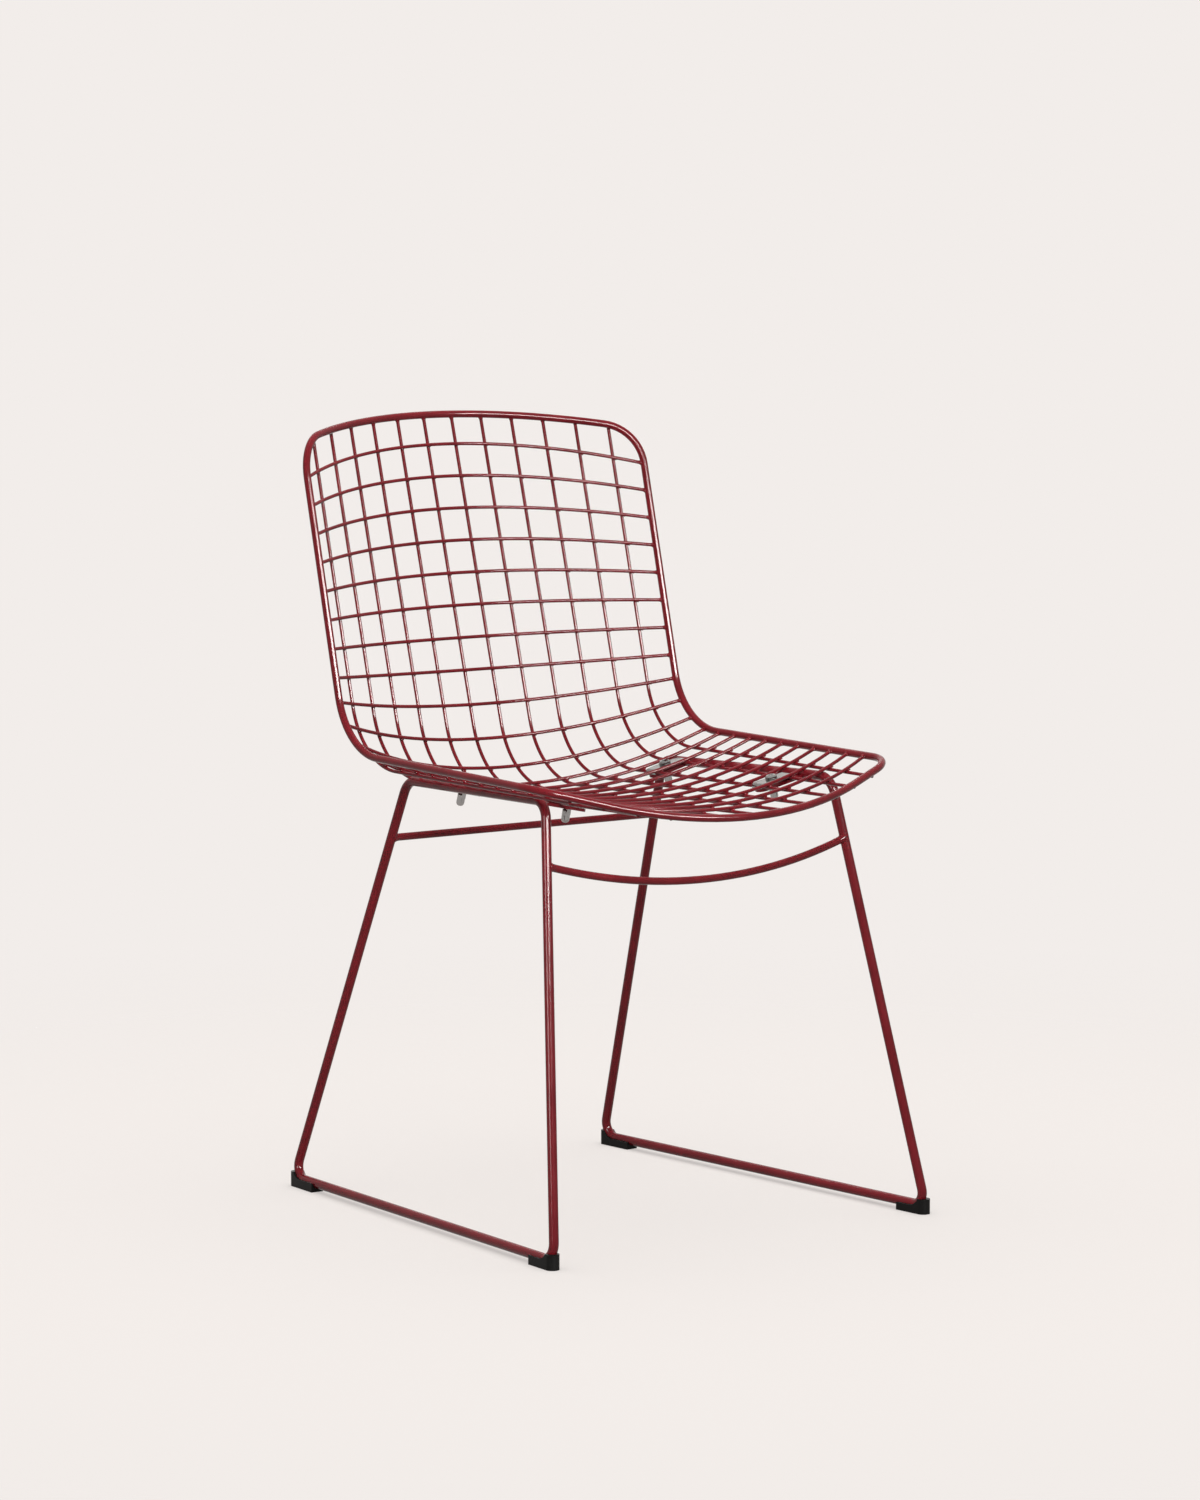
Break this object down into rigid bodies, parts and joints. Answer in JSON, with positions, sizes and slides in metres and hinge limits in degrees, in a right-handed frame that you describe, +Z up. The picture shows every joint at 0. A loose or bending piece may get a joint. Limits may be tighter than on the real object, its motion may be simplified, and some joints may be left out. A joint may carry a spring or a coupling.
{
  "type": "metal dining chair",
  "caption": "Armless dining chair with a dished, welded wire shell for seat and back, clamped to a sled base of bent rod with plastic cradle feet.",
  "frame": {"origin": "on the floor, under the middle of the chair's bounding box", "axes": "+Z up, the chair faces -Y, +X to the sitter's left"},
  "size_m": [0.4644, 0.5306, 0.7788],
  "materials": {
    "red_powder_coat": "glossy burgundy powder coat on steel rod and wire",
    "bright_plating": "bright plated steel hardware",
    "foot_plastic": "black moulded plastic with a fine matt surface"
  },
  "bodies": {
    "root": {"clamp_cap_nuts": "bright_plating", "clamp_screws": "bright_plating", "clip_plate_front_left": "bright_plating", "clip_plate_front_right": "bright_plating", "clip_plate_rear_left": "bright_plating", "clip_plate_rear_right": "bright_plating", "cross_wire_01": "red_powder_coat", "cross_wire_02": "red_powder_coat", "cross_wire_03": "red_powder_coat", "cross_wire_04": "red_powder_coat", "cross_wire_05": "red_powder_coat", "cross_wire_06": "red_powder_coat", "cross_wire_07": "red_powder_coat", "cross_wire_08": "red_powder_coat", "cross_wire_09": "red_powder_coat", "cross_wire_10": "red_powder_coat", "cross_wire_11": "red_powder_coat", "cross_wire_12": "red_powder_coat", "cross_wire_13": "red_powder_coat", "cross_wire_14": "red_powder_coat", "cross_wire_15": "red_powder_coat", "cross_wire_16": "red_powder_coat", "cross_wire_17": "red_powder_coat", "cross_wire_18": "red_powder_coat", "cross_wire_19": "red_powder_coat", "cross_wire_20": "red_powder_coat", "cross_wire_21": "red_powder_coat", "cross_wire_22": "red_powder_coat", "foot_front_left": "foot_plastic", "foot_front_right": "foot_plastic", "foot_rear_left": "foot_plastic", "foot_rear_right": "foot_plastic", "front_crossbar": "red_powder_coat", "long_wire_left_1": "red_powder_coat", "long_wire_left_2": "red_powder_coat", "long_wire_left_3": "red_powder_coat", "long_wire_left_4": "red_powder_coat", "long_wire_left_5": "red_powder_coat", "long_wire_left_6": "red_powder_coat", "long_wire_right_1": "red_powder_coat", "long_wire_right_2": "red_powder_coat", "long_wire_right_3": "red_powder_coat", "long_wire_right_4": "red_powder_coat", "long_wire_right_5": "red_powder_coat", "long_wire_right_6": "red_powder_coat", "mounting_tab_front_left": "red_powder_coat", "mounting_tab_front_right": "red_powder_coat", "mounting_tab_rear_left": "red_powder_coat", "mounting_tab_rear_right": "red_powder_coat", "rear_crossbar": "red_powder_coat", "shell_rim": "red_powder_coat", "side_frame_left": "red_powder_coat", "side_frame_right": "red_powder_coat"}
  },
  "joints": []
}
